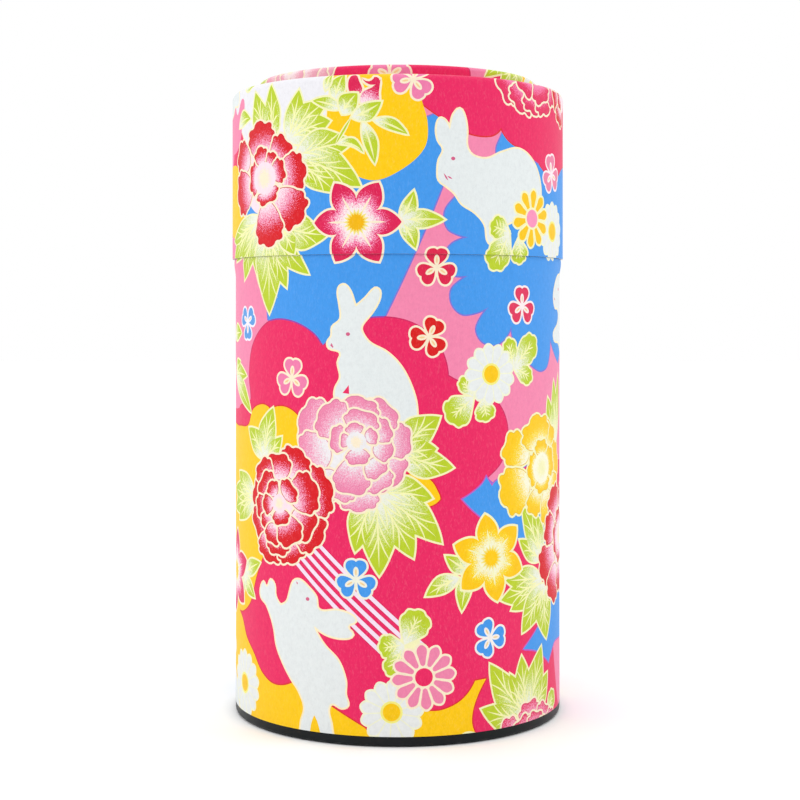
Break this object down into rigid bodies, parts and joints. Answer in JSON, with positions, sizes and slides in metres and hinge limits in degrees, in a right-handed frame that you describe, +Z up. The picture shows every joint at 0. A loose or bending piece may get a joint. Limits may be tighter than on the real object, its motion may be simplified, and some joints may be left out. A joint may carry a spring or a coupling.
{
  "type": "tea caddy",
  "caption": "Round tinplate tea caddy covered in printed paper, with an outer sleeve lid and an inner press lid with a knob.",
  "frame": {"origin": "centre of the base ring on the surface the caddy stands on", "axes": "+Z up along the can's axis, -Y towards the front of the printed pattern, +Y towards the lapped side seam"},
  "size_m": [0.082, 0.082, 0.1546],
  "materials": {
    "tinplate": "satin",
    "black_enamel": "satin",
    "printed_paper": "matte"
  },
  "bodies": {
    "can": {"body_shell": "tinplate", "base_plate": "black_enamel", "body_paper": "printed_paper"},
    "inner_lid": {"inner_lid_plate": "tinplate", "inner_lid_knob": "tinplate", "inner_lid_rivet": "tinplate"},
    "outer_lid": {"lid_shell": "tinplate", "lid_top_plate": "tinplate", "lid_side_paper": "printed_paper", "lid_top_paper": "printed_paper"}
  },
  "joints": [
    {"name": "inner_lid_lift", "type": "slide", "parent": "can", "child": "inner_lid", "axis": [0, 0, 1], "range_m": [0, 0.05]},
    {"name": "outer_lid_lift", "type": "slide", "parent": "inner_lid", "child": "outer_lid", "axis": [0, 0, 1], "range_m": [0, 0.06]}
  ]
}
